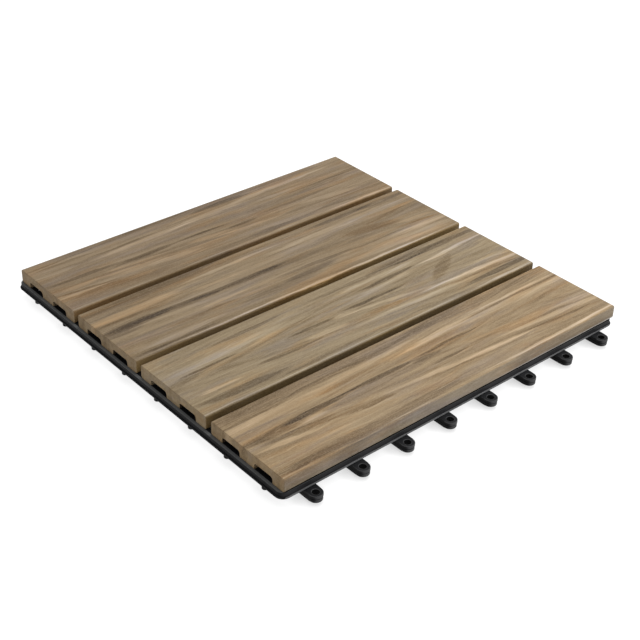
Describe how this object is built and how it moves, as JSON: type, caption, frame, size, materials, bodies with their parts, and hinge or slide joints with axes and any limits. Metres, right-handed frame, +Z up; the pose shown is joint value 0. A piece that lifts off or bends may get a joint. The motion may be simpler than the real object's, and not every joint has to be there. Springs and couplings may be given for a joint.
{
  "type": "interlocking deck tile",
  "caption": "Square deck tile: wood-composite slats screwed to a plastic lattice base, with eyelets on two sides and pegs under the other two that lock neighbouring tiles together.",
  "frame": {"origin": "centre of the tile, on the floor plane under the feet", "axes": "+X along the slats towards the eyelet side at their ends, -Y towards the other eyelet side, +Z up through the walking face"},
  "size_m": [0.3087, 0.3087, 0.022],
  "materials": {
    "wood_composite": "matt, brown-grey streaked grain",
    "base_plastic": "satin black moulding",
    "screw_steel": "zinc-plated"
  },
  "bodies": {
    "root": {"base_grid": "base_plastic", "slat_1": "wood_composite", "slat_2": "wood_composite", "slat_3": "wood_composite", "slat_4": "wood_composite", "screw_1_1": "screw_steel", "screw_1_2": "screw_steel", "screw_1_3": "screw_steel", "screw_1_4": "screw_steel", "screw_2_1": "screw_steel", "screw_2_2": "screw_steel", "screw_2_3": "screw_steel", "screw_2_4": "screw_steel", "screw_3_1": "screw_steel", "screw_3_2": "screw_steel", "screw_3_3": "screw_steel", "screw_3_4": "screw_steel", "screw_4_1": "screw_steel", "screw_4_2": "screw_steel", "screw_4_3": "screw_steel", "screw_4_4": "screw_steel"}
  },
  "joints": []
}
